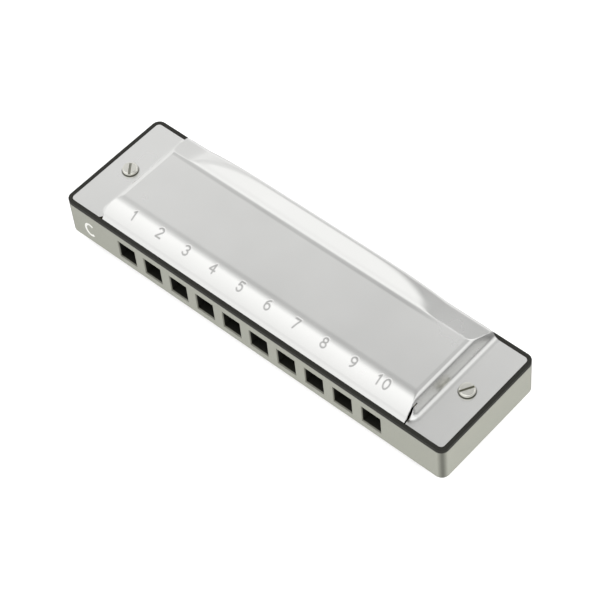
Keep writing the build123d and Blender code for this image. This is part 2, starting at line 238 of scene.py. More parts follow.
# ---- height of the cover's outer face above its tabs ----
def across_height(x, y):
    """Front slope, flat top, the faint ridge at the crease and the shallow dip behind it."""
    knee_y = INSET + SLOPE_STRAIGHT * math.cos(SLOPE_ANGLE)
    radius = (SLOPE_TOP_Y - knee_y) / math.sin(SLOPE_ANGLE)
    straight = (y - INSET) * math.tan(SLOPE_ANGLE)
    reach = np.clip(SLOPE_TOP_Y - y, 0, radius * math.sin(SLOPE_ANGLE))
    curved = RISE - radius + np.sqrt(radius**2 - reach**2)
    front_side = smooth(CREASE_Y - RIDGE_RUN, CREASE_Y, y)
    ridge = front_side - smooth(CREASE_Y, CREASE_Y + RIDGE_BACK_RUN, y)
    ridge = ridge * smooth(RIDGE_END_X, RIDGE_END_X - RIDGE_FADE, x)
    dipped = RISE - (y - CREASE_Y) * DIP
    back = soft_min(curved, dipped, CREASE_BLEND) + RIDGE_HEIGHT * ridge
    return np.where(y < knee_y, straight, np.where(y < BODY_DEPTH / 2, curved, back))


def ramp_height(inside):
    """Crest, steep ramp, foot and tab, by the distance inside the foot line."""
    out = RAMP_RUN - inside
    crest_run = CREST_R * math.sin(RAMP_ANGLE)
    foot_run = FOOT_R * math.sin(RAMP_ANGLE)
    crest = RISE - CREST_R + np.sqrt(np.clip(CREST_R**2 - np.clip(out, 0, crest_run) ** 2, 0, None))
    crest_end = RISE - CREST_R * (1 - math.cos(RAMP_ANGLE))
    straight = crest_end - (out - crest_run) * math.tan(RAMP_ANGLE)
    from_foot = np.clip(RAMP_RUN - out, 0, foot_run)
    foot = FOOT_R - np.sqrt(FOOT_R**2 - from_foot**2)
    height = np.where(out < crest_run, crest, straight)
    return np.where(out > RAMP_RUN - foot_run, foot, height)


def arch_bulge(x):
    """How far the hood arches up: near 1 in the middle, 0 towards the ends."""
    bulge = 1 - (np.abs(x - ARCH_MIDDLE_X) / ARCH_HALF) ** ARCH_POWER
    return (bulge + np.sqrt(bulge**2 + ARCH_SOFTNESS**2)) / 2


def hood_height(x, y):
    """The arched hood that drops towards the back."""
    return RISE + ARCH_RISE * arch_bulge(x) + (CREASE_Y - y) * DROP


def cover_height(x, y):
    """Height of the whole cover, with the ramps' round front corners beyond the slits."""
    arched = smooth(*HOOD_BLEND_GROWS, arch_bulge(x))
    blend = HOOD_BLEND_AT_ENDS + (HOOD_BLEND_IN_MIDDLE - HOOD_BLEND_AT_ENDS) * arched
    height = soft_min(across_height(x, y), hood_height(x, y), blend)
    inside = FOOT_X - np.abs(x)
    clear_of_top = 2 * np.clip(inside - RAMP_RUN, 0, None)
    whole = soft_min(height, ramp_height(inside) + clear_of_top, CREST_BLEND)
    reach = np.hypot(np.abs(x) - SLIT_X, np.clip(CORNER_Y - y, 0, None))
    corner = ramp_height(FOOT_X - SLIT_X - reach)
    outside_slit = (np.abs(x) > SLIT_X + 0.01) & (y < SLIT_END_Y)
    return np.where(outside_slit, corner, whole)


def open_slit(x, y):
    """Moves the outer side of each slit outwards near the rim, where the slit is wider."""
    beyond = np.abs(x) - SLIT_X - SLIT_WIDTH
    near_rim = np.clip((SLIT_WIDENS_Y - y) / (SLIT_WIDENS_Y - INSET), 0, 1)
    fade = np.where(beyond > -0.001, np.clip(1 - beyond / SLIT_FADE, 0, 1), 0)
    foot_width = np.where(x < 0, LEFT_SLIT_FOOT_WIDTH, RIGHT_SLIT_FOOT_WIDTH)
    return x + np.sign(x) * (foot_width - SLIT_WIDTH) * near_rim * fade


def edge_curl(x, y):
    """How far the last of the sheet curls down before its rolled edge."""
    end, flare = rear_edge(x)
    run = np.clip(y - end + CURL_RUN, 0, CURL_RUN)
    return flare * (CURL_R - np.sqrt(CURL_R**2 - run**2))


def rear_edge(x):
    """Where the sheet ends at the back: past the rim between the ramps, inside it at the tabs."""
    half = BODY_LENGTH / 2
    flare = 1 - smooth(half - FLARE_FULL_FROM_END, half - FLARE_FROM_END, np.abs(x))
    return TAB_REAR_Y + (REAR_EDGE_Y - HEM_R - TAB_REAR_Y) * flare, flare


# ---- numbers, drawn with strokes in a box one unit wide and one high ----
def bow(cx, cy, rx, ry, start, end):
    """An elliptical stroke from one angle to another, in degrees, with a point every 12 or so."""
    count = max(6, int(abs(end - start) / 12))
    angles = np.radians(np.linspace(start, end, count))
    return [(cx + rx * math.cos(a), cy + ry * math.sin(a)) for a in angles]


GLYPHS = {
    "0": [bow(0.5, 0.5, 0.42, 0.5, 90, 450)],
    "1": [[(0.3, 0.8), (0.55, 1.0), (0.55, 0.0)]],
    "2": [bow(0.5, 0.72, 0.4, 0.28, 160, -40) + [(0.1, 0.0), (0.92, 0.0)]],
    "3": [bow(0.45, 0.75, 0.38, 0.25, 150, -80), bow(0.45, 0.26, 0.42, 0.26, 80, -150)],
    "4": [[(0.68, 0.0), (0.68, 1.0), (0.05, 0.3), (0.95, 0.3)]],
    "5": [[(0.85, 1.0), (0.25, 1.0), (0.18, 0.55)] + bow(0.47, 0.33, 0.4, 0.33, 130, -150)],
    "6": [bow(0.75, 0.45, 0.65, 0.55, 100, 180), bow(0.5, 0.3, 0.4, 0.3, 0, 360)],
    "7": [[(0.1, 1.0), (0.9, 1.0), (0.35, 0.0)]],
    "8": [bow(0.5, 0.75, 0.33, 0.25, 0, 360), bow(0.5, 0.25, 0.41, 0.25, 0, 360)],
    "9": [bow(0.5, 0.7, 0.4, 0.3, 0, 360), bow(0.25, 0.55, 0.65, 0.55, 0, -80)],
}


def sample(stroke, scale_x, scale_y, spacing=0.05):
    """Points close together along one stroke, in millimetres."""
    points = []
    for (x0, y0), (x1, y1) in zip(stroke, stroke[1:]):
        a = np.array((x0 * scale_x, y0 * scale_y))
        b = np.array((x1 * scale_x, y1 * scale_y))
        count = max(2, int(np.linalg.norm(b - a) / spacing))
        points += [a + (b - a) * t for t in np.linspace(0, 1, count)]
    return np.array(points)


def number_points():
    """Stroke points of the numbers 1 to 10, as (x, y) on the cover."""
    numbers = []
    for index in range(HOLE_COUNT):
        text = str(index + 1)
        start = -(len(text) - 1) * DIGIT_ADVANCE / 2 - DIGIT_WIDTH / 2
        for order, digit in enumerate(text):
            for stroke in GLYPHS[digit]:
                points = sample(stroke, DIGIT_WIDTH, DIGIT_HEIGHT)
                x = FIRST_DIGIT_X + index * DIGIT_PITCH + start + order * DIGIT_ADVANCE
                y = DIGIT_Y - DIGIT_HEIGHT / 2
                numbers.append(points + np.array((x, y)))
    return np.concatenate(numbers)


def groove(x, y, strokes):
    """How deep the numbers are pressed at each point, 0 to 1."""
    depth = np.zeros(x.shape)
    near = (y > DIGIT_Y - DIGIT_HEIGHT) & (y < DIGIT_Y + DIGIT_HEIGHT)
    for i in range(x.shape[0]):
        column = x[i, 0]
        close = strokes[np.abs(strokes[:, 0] - column) < GROOVE_EDGE_R]
        if not len(close):
            continue
        rows = np.nonzero(near[i])[0]
        gap = np.hypot(x[i, rows, None] - close[None, :, 0], y[i, rows, None] - close[None, :, 1])
        depth[i, rows] = 1 - smooth(GROOVE_FLAT_R, GROOVE_EDGE_R, gap.min(1))
    return depth


# ---- mesh helpers ----
def link(obj):
    """Puts an object into the scene."""
    bpy.context.scene.collection.objects.link(obj)
    return obj


def make_object(name, points, faces, material, body=BODY):
    """A mesh piece from points in millimetres."""
    mesh = bpy.data.meshes.new(name)
    mesh.from_pydata([tuple(float(c) * MM for c in p) for p in points], [], faces)
    mesh.polygons.foreach_set("use_smooth", [True] * len(mesh.polygons))
    mesh.materials.append(material)
    obj = link(bpy.data.objects.new(name, mesh))
    if body:
        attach(obj, body)
    return obj


def lines_between(*spans):
    """Grid lines from (start, end, spacing) spans that follow each other."""
    lines = []
    for start, end, spacing in spans:
        count = max(1, round((end - start) / spacing))
        lines += list(np.linspace(start, end, count + 1)[:-1])
    return lines + [spans[-1][1]]


def cover_columns(numbered):
    """Grid lines along the cover, close where it bends and where numbers are."""
    half = BODY_LENGTH / 2 - INSET
    right = lines_between(
        (CREST_X - 0.8, SLIT_X, FINE),
        (SLIT_X, SLIT_X + SLIT_WIDTH, SLIT_WIDTH / 3),
        (SLIT_X + SLIT_WIDTH, FOOT_X + 0.6, FINE),
        (FOOT_X + 0.6, half, 0.3),
    )
    left = [-x for x in right[::-1]]
    if not numbered:
        return left + lines_between((left[-1], right[0], 1.0))[1:-1] + right
    middle = []
    last = left[-1]
    for index in range(HOLE_COUNT):
        centre = FIRST_DIGIT_X + index * DIGIT_PITCH
        reach = DIGIT_WIDTH * 0.85 * (1.75 if index == HOLE_COUNT - 1 else 1)
        start = centre - reach
        end = centre + reach
        middle += lines_between((last, start, WIDE), (start, end, FINE))[1:]
        last = end
    middle += lines_between((last, right[0], 0.6))[1:-1]
    return left + middle + right


def cover_rows(numbered):
    """Grid lines across the cover."""
    spacing = FINE if numbered else 0.3
    low = DIGIT_Y - DIGIT_HEIGHT * 0.7
    high = DIGIT_Y + DIGIT_HEIGHT * 0.7
    slope_end = SLOPE_TOP_Y + 0.6
    before_bolt = BOLT_Y - 1.6
    past_bolt = BOLT_Y + 1.6
    before_crease = CREASE_Y - 1.2
    past_crease = CREASE_Y + 1.0
    return lines_between(
        (INSET, low, 0.15),
        (low, SLIT_END_Y, spacing),
        (SLIT_END_Y, high, spacing),
        (high, slope_end, 0.25),
        (slope_end, before_bolt, WIDE),
        (before_bolt, past_bolt, MEDIUM),
        (past_bolt, before_crease, WIDE),
        (before_crease, CREASE_Y, CLOSE),
        (CREASE_Y, past_crease, CLOSE),
        (past_crease, TAB_REAR_Y, MEDIUM),
    )


def round_corners(x, y):
    """Pulls the corners of the tabs in to a radius."""
    half = BODY_LENGTH / 2 - INSET
    cx = np.sign(x) * (half - TAB_CORNER_R)
    cy = np.where(y < BODY_DEPTH / 2, INSET + TAB_CORNER_R, TAB_REAR_Y - TAB_CORNER_R)
    dx = x - cx
    dy = y - cy
    inside = (dx * np.sign(x) > 0) & (dy * np.where(y < BODY_DEPTH / 2, -1, 1) > 0)
    square = np.maximum(np.abs(dx), np.abs(dy))
    length = np.maximum(np.hypot(dx, dy), 1e-9)
    return (
        np.where(inside, cx + dx / length * square, x),
        np.where(inside, cy + dy / length * square, y),
    )


def cover_surface(columns, rows, numbered):
    """Grid points of the outer face, as x, y and height, and how deep the numbers are there."""
    x, y = np.meshgrid(columns, rows, indexing="ij")
    end, flare = rear_edge(x)
    stretch = (end - FLARE_FROM_Y) / (TAB_REAR_Y - FLARE_FROM_Y)
    y = np.where(y > FLARE_FROM_Y, FLARE_FROM_Y + (y - FLARE_FROM_Y) * stretch, y)
    x = open_slit(x, y)
    height = cover_height(x, y) - edge_curl(x, y)
    near_edge = smooth(TAB_REAR_Y - RIM_STEP_RUN, TAB_REAR_Y, y)
    over_rim = (SHEET + RIM_GAP) * np.clip(4 * flare, 0, 1) * near_edge
    height = np.maximum(height, over_rim)
    pressed = groove(x, y, number_points()) if numbered else np.zeros(x.shape)
    height = height - GROOVE_DEPTH * pressed
    x, y = round_corners(x, y)
    return x, y, height, pressed


def cover_faces(columns, rows, x, y, up):
    """Faces of the grid, without those in the slits and in the bolt holes."""
    from_bolt = np.hypot(np.abs(x) - BOLT_X, y - BOLT_Y)
    count = len(rows)
    faces = []
    for i in range(len(columns) - 1):
        middle_x = abs(columns[i] + columns[i + 1]) / 2
        for j in range(count - 1):
            in_slit = SLIT_X < middle_x < SLIT_X + SLIT_WIDTH and rows[j + 1] < SLIT_END_Y + 0.01
            in_bolt_hole = from_bolt[i : i + 2, j : j + 2].mean() < BOLT_HOLE_R
            if in_slit or in_bolt_hole:
                continue
            a = i * count + j
            face = (a, a + count, a + count + 1, a + 1)
            faces.append(face if up > 0 else face[::-1])
    return faces


def make_cover(name, tab_z, up, numbered, material):
    """One pressed cover as a sheet; up is 1 for the upper one and -1 for the lower."""
    columns = np.array(cover_columns(numbered))
    rows = np.array(cover_rows(numbered))
    x, y, height, pressed = cover_surface(columns, rows, numbered)
    points = np.stack([x, FRONT_Y + y, tab_z + up * height], -1).reshape(-1, 3)
    faces = cover_faces(columns, rows, x, y, up)
    obj = make_object(name, points, faces, material)
    wear = obj.data.attributes.new("pressed", "FLOAT", "POINT")
    wear.data.foreach_set("value", pressed.reshape(-1).astype(np.float32))
    drop_loose(obj)
    thicken(obj)
    smooth_by_angle(obj, 50)
    sharpen_crease(obj)
    return obj


def thicken(obj):
    """Turns the outer face into a closed sheet that is thick inwards."""
    thick = obj.modifiers.new("sheet", "SOLIDIFY")
    thick.thickness = SHEET * MM
    thick.offset = -1
    bpy.context.view_layer.update()
    seen = obj.evaluated_get(bpy.context.evaluated_depsgraph_get())
    solid = bpy.data.meshes.new_from_object(seen)
    obj.modifiers.clear()
    obj.data = solid


def sharpen_crease(obj):
    """Makes the crease crisp near its right end, where the hood drops straight from it."""
    mesh = obj.data
    on_crease = [
        vertex.co.x > CRISP_FROM_X * MM and abs(vertex.co.y - (FRONT_Y + CREASE_Y) * MM) < 0.03 * MM
        for vertex in mesh.vertices
    ]
    for edge in mesh.edges:
        if all(on_crease[index] for index in edge.vertices):
            edge.use_edge_sharp = True


def drop_loose(obj):
    """Removes points that no face uses."""
    bm = bmesh.new()
    bm.from_mesh(obj.data)
    loose = [v for v in bm.verts if not v.link_faces]
    bmesh.ops.delete(bm, geom=loose, context="VERTS")
    bm.to_mesh(obj.data)
    bm.free()


def hem_section():
    """Section of the rolled lip, lying back from its start at the origin, sheet going forward."""
    def arc(radius, angles):
        return [(radius * math.sin(a), radius * math.cos(a)) for a in angles]

    outer = arc(HEM_R, np.linspace(0, math.pi, 13))
    inner = arc(HEM_INNER_R, np.linspace(math.pi, 0, 7))
    return outer + [(-HEM_FOLD, -HEM_R), (-HEM_FOLD, -HEM_INNER_R)] + inner


def tube_faces(stations, count, outward):
    """Side faces and end caps of rings of points that follow each other."""
    faces = []
    for i in range(stations - 1):
        for j in range(count):
            a = i * count + j
            b = i * count + (j + 1) % count
            face = (a, b, b + count, a + count)
            faces.append(face if outward else face[::-1])
    first = tuple(range(count))
    last = tuple((stations - 1) * count + j for j in range(count))
    return faces + ([first[::-1], last] if outward else [first, last[::-1]])


def make_hem(name, tab_z, up, material):
    """The rolled lip along the open back."""
    stations = np.linspace(-HEM_HALF, HEM_HALF, HEM_STATIONS)
    section = hem_section()
    points = []
    for x in stations:
        here = np.array([x])
        end = rear_edge(here)[0]
        top, before = (
            float((cover_height(here, y) - edge_curl(here, y))[0]) for y in (end, end - SLOPE_SAMPLE)
        )
        tilt = math.atan2(before - top, SLOPE_SAMPLE)
        full = float(1 - smooth(HEM_HALF - HEM_TAPER, HEM_HALF, abs(x)))
        size = HEM_END_SIZE + (1 - HEM_END_SIZE) * full
        cy = float(end[0]) - HEM_R * size * math.sin(tilt)
        cz = top - HEM_R * size * math.cos(tilt)
        for back, high in section:
            dy = back * math.cos(tilt) + high * math.sin(tilt)
            dz = high * math.cos(tilt) - back * math.sin(tilt)
            points.append((x, FRONT_Y + cy + dy * size, tab_z + up * (cz + dz * size)))
    faces = tube_faces(len(stations), len(section), up > 0)
    obj = make_object(name, points, faces, material)
    smooth_by_angle(obj, 40)
    return obj


def smooth_by_angle(obj, degrees):
    """Smooth shading that keeps the edges sharper than an angle."""
    mesh = obj.data
    mesh.polygons.foreach_set("use_smooth", [True] * len(mesh.polygons))
    bm = bmesh.new()
    bm.from_mesh(mesh)
    limit = math.radians(degrees)
    for edge in bm.edges:
        if len(edge.link_faces) == 2:
            edge.smooth = edge.calc_face_angle(0) < limit
    bm.to_mesh(mesh)
    bm.free()


# ---- materials ----
def new_material(name):
    """A material with its tree, its surface shader and a helper that adds nodes."""
    material = bpy.data.materials.new(name)
    material.use_nodes = True
    tree = material.node_tree
    shader = tree.nodes["Principled BSDF"]

    def add(kind, **settings):
        node = tree.nodes.new(kind)
        for key, value in settings.items():
            if key in node.inputs:
                node.inputs[key].default_value = value
            else:
                setattr(node, key, value)
        return node

    return material, tree.links.new, shader, add


def ramp(add, stops):
    """A colour ramp from (position, (r, g, b)) or (position, value) stops."""
    node = add("ShaderNodeValToRGB")
    elements = node.color_ramp.elements
    while len(elements) < len(stops):
        elements.new(0.5)
    for element, (position, value) in zip(elements, stops):
        rgb = value if isinstance(value, tuple) else (value, value, value)
        element.position = position
        element.color = (*rgb, 1)
    return node


def object_coords(add, join, scale=(1, 1, 1)):
    """Object coordinates, stretched."""
    coords = add("ShaderNodeTexCoord")
    mapping = add("ShaderNodeMapping", Scale=scale)
    join(coords.outputs["Object"], mapping.inputs["Vector"])
    return mapping.outputs["Vector"]


def calc(add, join, operation, *values):
    """A maths node fed by sockets or by plain numbers."""
    node = add("ShaderNodeMath", operation=operation)
    for index, value in enumerate(values):
        if isinstance(value, (int, float)):
            node.inputs[index].default_value = value
        else:
            join(value, node.inputs[index])
    return node.outputs["Value"]


def step_between(add, join, value, start, end):
    """0 to 1 as a value in millimetres goes from start to end."""
    node = add("ShaderNodeMapRange")
    node.inputs["From Min"].default_value = start * MM
    node.inputs["From Max"].default_value = end * MM
    join(value, node.inputs["Value"])
    return node.outputs["Result"]


def object_xyz(add, join):
    """Object coordinates as three separate sockets."""
    coords = add("ShaderNodeTexCoord")
    parts = add("ShaderNodeSeparateXYZ")
    join(coords.outputs["Object"], parts.inputs["Vector"])
    return parts.outputs["X"], parts.outputs["Y"], parts.outputs["Z"]


def bump(add, join, shader, height, strength, distance):
    """Fine relief in the surface normal."""
    node = add("ShaderNodeBump", Strength=strength, Distance=distance)
    join(height, node.inputs["Height"])
    join(node.outputs["Normal"], shader.inputs["Normal"])


def bolt_distance(add, join):
    """Distance from the axis of the nearer bolt."""
    x, y = object_xyz(add, join)[:2]
    dx = calc(add, join, "SUBTRACT", calc(add, join, "ABSOLUTE", x), BOLT_X * MM)
    dy = calc(add, join, "SUBTRACT", y, (FRONT_Y + BOLT_Y) * MM)
    squares = [calc(add, join, "MULTIPLY", value, value) for value in (dx, dy)]
    return calc(add, join, "SQRT", calc(add, join, "ADD", *squares))


def steel_material():
    """Polished pressed steel: fine lines, faint smudges, dull numbers, and a painted contact shadow
    round the bolts.
    """
    material, join, shader, add = new_material("polished_cover_steel")
    shader.inputs["Metallic"].default_value = 1.0
    lines = add("ShaderNodeTexNoise", Scale=900.0, Detail=3.0)
    join(object_coords(add, join, (0.12, 1, 1)), lines.inputs["Vector"])
    smudge = add("ShaderNodeTexNoise", Scale=60.0, Detail=4.0)
    join(object_coords(add, join), smudge.inputs["Vector"])
    rough = ramp(add, [(0.3, 0.24), (0.7, 0.28)])
    join(smudge.outputs["Fac"], rough.inputs["Fac"])
    pressed = add("ShaderNodeAttribute", attribute_name="pressed")
    duller = add("ShaderNodeMath", operation="MULTIPLY_ADD")
    duller.inputs[1].default_value = 0.25
    join(pressed.outputs["Fac"], duller.inputs[0])
    join(rough.outputs["Color"], duller.inputs[2])
    join(duller.outputs["Value"], shader.inputs["Roughness"])
    tone = ramp(add, [(0.35, (0.81, 0.81, 0.795)), (0.65, (0.835, 0.835, 0.82))])
    join(smudge.outputs["Fac"], tone.inputs["Fac"])
    darker = add("ShaderNodeMix", data_type="RGBA")
    darker.inputs["B"].default_value = (0.46, 0.46, 0.45, 1)
    join(pressed.outputs["Fac"], darker.inputs["Factor"])
    join(tone.outputs["Color"], darker.inputs["A"])
    # Painted contact shadow: a dark ring on the steel right round each bolt head.
    ring = add("ShaderNodeMix", data_type="RGBA")
    ring.inputs["B"].default_value = (0.16, 0.16, 0.14, 1)
    edge = step_between(add, join, bolt_distance(add, join), BOLT_HEAD_R + 0.3, BOLT_HEAD_R + 0.05)
    join(edge, ring.inputs["Factor"])
    join(darker.outputs["Result"], ring.inputs["A"])
    join(ring.outputs["Result"], shader.inputs["Base Color"])
    bump(add, join, shader, lines.outputs["Fac"], 0.04, 0.00002)
    return material


def past_corner_start(add, join):
    """How far a place lies beyond the start of the rounded corners, along X and along Y."""
    x, y = object_xyz(add, join)[:2]
    past = []
    for value, outside in ((x, BODY_LENGTH / 2), (y, BODY_DEPTH / 2)):
        size = calc(add, join, "ABSOLUTE", value)
        beyond = calc(add, join, "SUBTRACT", size, (outside - BODY_CORNER_R) * MM)
        past.append(calc(add, join, "MAXIMUM", beyond, 0.0))
    return past


def skin_mask(add, join):
    """1 on the outside of the body and 0 in the holes and chambers, where no paint reaches."""
    squares = [calc(add, join, "MULTIPLY", value, value) for value in past_corner_start(add, join)]
    reach = calc(add, join, "SQRT", calc(add, join, "ADD", *squares))
    side = step_between(add, join, reach, BODY_CORNER_R - 0.45, BODY_CORNER_R - 0.3)
    below = step_between(add, join, object_xyz(add, join)[2], COMB_BOTTOM + 0.1, COMB_BOTTOM + 0.02)
    return calc(add, join, "MAXIMUM", side, below)


def comb_material():
    """Silver-grey satin paint with painted shade along the rounded corners, on the outside of black
    moulded plastic.
    """
    material, join, shader, add = new_material("silver_comb_paint")
    shader.inputs["Metallic"].default_value = 0.0
    grain = add("ShaderNodeTexNoise", Scale=5200.0, Detail=2.0)
    join(object_coords(add, join), grain.inputs["Vector"])
    cloud = add("ShaderNodeTexNoise", Scale=90.0, Detail=3.0)
    join(object_coords(add, join), cloud.inputs["Vector"])
    tone = ramp(add, [(0.3, (0.298, 0.302, 0.256)), (0.7, (0.37, 0.374, 0.322))])
    join(grain.outputs["Fac"], tone.inputs["Fac"])
    rough = ramp(add, [(0.3, 0.40), (0.7, 0.50)])
    join(cloud.outputs["Fac"], rough.inputs["Fac"])
    # Painted shade: the paint is darkened to a dark band along the rounded corners of the body.
    past_x, past_y = past_corner_start(add, join)
    corner = step_between(add, join, calc(add, join, "MINIMUM", past_x, past_y), 0.3, 1.2)
    corner_shade = add("ShaderNodeMix", data_type="RGBA")
    corner_shade.inputs["B"].default_value = (0.12, 0.122, 0.10, 1)
    join(corner, corner_shade.inputs["Factor"])
    join(tone.outputs["Color"], corner_shade.inputs["A"])
    paint = add("ShaderNodeMix", data_type="RGBA")
    paint.inputs["A"].default_value = (0.012, 0.012, 0.009, 1)
    join(skin_mask(add, join), paint.inputs["Factor"])
    join(corner_shade.outputs["Result"], paint.inputs["B"])
    join(paint.outputs["Result"], shader.inputs["Base Color"])
    join(rough.outputs["Color"], shader.inputs["Roughness"])
    bump(add, join, shader, grain.outputs["Fac"], 0.12, 0.00003)
    return material


def black_material():
    """Satin black moulded plastic."""
    material, join, shader, add = new_material("black_frame_plastic")
    grain = add("ShaderNodeTexNoise", Scale=3000.0, Detail=3.0)
    join(object_coords(add, join), grain.inputs["Vector"])
    shader.inputs["Specular IOR Level"].default_value = 0.3
    tone = ramp(add, [(0.3, (0.012, 0.012, 0.009)), (0.7, (0.021, 0.021, 0.016))])
    rough = ramp(add, [(0.3, 0.36), (0.7, 0.48)])
    join(grain.outputs["Fac"], tone.inputs["Fac"])
    join(grain.outputs["Fac"], rough.inputs["Fac"])
    join(tone.outputs["Color"], shader.inputs["Base Color"])
    join(rough.outputs["Color"], shader.inputs["Roughness"])
    bump(add, join, shader, grain.outputs["Fac"], 0.15, 0.00003)
    return material


def brass_material():
    """Bare ground brass with lines from grinding, darkened with painted shade near the mouth side,
    under the covers.
    """
    material, join, shader, add = new_material("ground_brass")
    shader.inputs["Metallic"].default_value = 1.0
    lines = add("ShaderNodeTexNoise", Scale=1500.0, Detail=3.0)
    join(object_coords(add, join, (1, 0.08, 1)), lines.inputs["Vector"])
    stain = add("ShaderNodeTexNoise", Scale=150.0, Detail=5.0)
    join(object_coords(add, join), stain.inputs["Vector"])
    tone = ramp(add, [(0.3, (0.50, 0.36, 0.13)), (0.7, (0.68, 0.52, 0.23))])
    rough = ramp(add, [(0.3, 0.24), (0.7, 0.42)])
    join(stain.outputs["Fac"], tone.inputs["Fac"])
    join(lines.outputs["Fac"], rough.inputs["Fac"])
    # Painted shade: the brass is darkened towards the mouth side, where it lies in the shadow of the
    # covers.
    front = step_between(add, join, object_xyz(add, join)[1], FRONT_Y + 6.0, FRONT_Y + 4.0)
    front_shade = add("ShaderNodeMix", data_type="RGBA")
    front_shade.inputs["B"].default_value = (0.03, 0.025, 0.015, 1)
    join(front, front_shade.inputs["Factor"])
    join(tone.outputs["Color"], front_shade.inputs["A"])
    join(front_shade.outputs["Result"], shader.inputs["Base Color"])
    join(rough.outputs["Color"], shader.inputs["Roughness"])
    bump(add, join, shader, lines.outputs["Fac"], 0.1, 0.00002)
    return material


def bolt_shade_mask(add, join):
    """Where the painted shade goes: 1 in the screwdriver slots and at the foot of the bolt heads, 0
    elsewhere.
    """
    z = object_xyz(add, join)[2]
    radius = bolt_distance(add, join)
    above_tab = step_between(add, join, z, UPPER_TAB - 0.02, UPPER_TAB + 0.02)
    below_top = step_between(add, join, z, BOLT_TOP - 0.1, BOLT_TOP - 0.2)
    inside = step_between(add, join, radius, BOLT_HEAD_R - 0.08, BOLT_HEAD_R - 0.16)
    in_head = calc(add, join, "MULTIPLY", above_tab, below_top)
    slot_mask = calc(add, join, "MULTIPLY", in_head, inside)
    foot = step_between(add, join, z, UPPER_TAB + 0.4, UPPER_TAB + 0.25)
    foot_mask = calc(add, join, "MULTIPLY", above_tab, foot)
    return calc(add, join, "MAXIMUM", slot_mask, foot_mask)


def nickel_material():
    """Nickel plate on the bolts and nuts, a little warmer than the covers, with painted shade in the
    slots and at the foot of the heads.
    """
    material, join, shader, add = new_material("nickel_plate")
    shader.inputs["Metallic"].default_value = 1.0
    spots = add("ShaderNodeTexNoise", Scale=1200.0, Detail=4.0)
    join(object_coords(add, join), spots.inputs["Vector"])
    tone = ramp(add, [(0.3, (0.74, 0.735, 0.68)), (0.7, (0.79, 0.785, 0.73))])
    rough = ramp(add, [(0.3, 0.20), (0.7, 0.27)])
    join(spots.outputs["Fac"], tone.inputs["Fac"])
    join(spots.outputs["Fac"], rough.inputs["Fac"])
    # Painted shade: the nickel is darkened in the screwdriver slots and round the foot of each head.
    shaded_head = add("ShaderNodeMix", data_type="RGBA")
    shaded_head.inputs["B"].default_value = (0.30, 0.30, 0.26, 1)
    join(bolt_shade_mask(add, join), shaded_head.inputs["Factor"])
    join(tone.outputs["Color"], shaded_head.inputs["A"])
    join(shaded_head.outputs["Result"], shader.inputs["Base Color"])
    join(rough.outputs["Color"], shader.inputs["Roughness"])
    bump(add, join, shader, spots.outputs["Fac"], 0.02, 0.00001)
    return material


def print_material():
    """White ink of the printed mark."""
    material, join, shader, add = new_material("white_ink")
    grain = add("ShaderNodeTexNoise", Scale=4000.0, Detail=3.0)
    join(object_coords(add, join), grain.inputs["Vector"])
    tone = ramp(add, [(0.3, (0.80, 0.80, 0.76)), (0.7, (0.90, 0.90, 0.86))])
    rough = ramp(add, [(0.3, 0.45), (0.7, 0.6)])
    join(grain.outputs["Fac"], tone.inputs["Fac"])
    join(grain.outputs["Fac"], rough.inputs["Fac"])
    join(tone.outputs["Color"], shader.inputs["Base Color"])
    join(rough.outputs["Color"], shader.inputs["Roughness"])
    return material


# ---- other pieces ----
def make_letter_mark(material):
    """A white letter C, the note of the key, printed on the front of the comb."""
    angles = np.radians(np.linspace(LETTER_OPENING, 360 - LETTER_OPENING, LETTER_STATIONS))
    points = []
    for a in angles:
        for stroke in (-LETTER_STROKE, LETTER_STROKE):
            x = LETTER_X + (LETTER_HALF_WIDTH + stroke) * math.cos(a)
            z = LETTER_Z + (LETTER_HALF_HEIGHT + stroke) * math.sin(a)
            points.append((x, FRONT_Y, z))
    raised = [(x, y - INK_THICK, z) for x, y, z in points]
    count = len(points)
    faces = []
    for i in range(len(angles) - 1):
        a = 2 * i
        faces.append((count + a, count + a + 1, count + a + 3, count + a + 2)[::-1])
        faces.append((a, a + 2, count + a + 2, count + a)[::-1])
        faces.append((a + 1, count + a + 1, count + a + 3, a + 3)[::-1])
    faces.append((0, 1, count + 1, count))
    faces.append((count - 2, count - 1, 2 * count - 1, 2 * count - 2))
    return make_object("key_letter", points + raised, faces, material)


def make_reed(node, material):
    """A strip from its root to its tip, for one CAD reed."""
    tongue_body = node + "_tongue"
    joint = [j for j in frame["joints"] if j["child"] == tongue_body][0]
    root_y = joint["pos_m"][1] / MM
    low, high = (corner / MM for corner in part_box(node))
    tip_y = low.y if abs(high.y - root_y) < abs(low.y - root_y) else high.y
    half = (high.x - low.x) / 2
    centre = (high.x + low.x) / 2
    points = []
    for i in range(REED_STATIONS):
        t = i / (REED_STATIONS - 1)
        y = root_y + (tip_y - root_y) * t
        width = half * (1 - REED_TAPER * t)
        if i == REED_STATIONS - 1:
            width *= REED_TIP_WIDTH
        thin = REED_THINNING * (high.z - low.z) * math.sin(math.pi * min(1, t * REED_THIN_SPAN)) ** 2
        across = np.linspace(-width, width, REED_HALF_RING)
        points += [(centre + x, y, high.z) for x in across]
        points += [(centre + x, y, low.z + thin) for x in -across]
    faces = tube_faces(REED_STATIONS, 2 * REED_HALF_RING, tip_y > root_y)
    obj = make_object(node + "_strip", points, faces, material, body=None)
    smooth_by_angle(obj, 40)
    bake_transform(obj)
    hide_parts(node)
    return obj


def dress(node, material, edge=0.0):
    """Gives a CAD node its material and softened edges."""
    obj = frame["nodes"][node]
    obj.data.materials.clear()
    obj.data.materials.append(material)
    if edge:
        soften = obj.modifiers.new("edge", "BEVEL")
        soften.width = edge * MM
        soften.segments = 3
        soften.limit_method = "ANGLE"
        soften.angle_limit = math.radians(40)
        soften.harden_normals = True


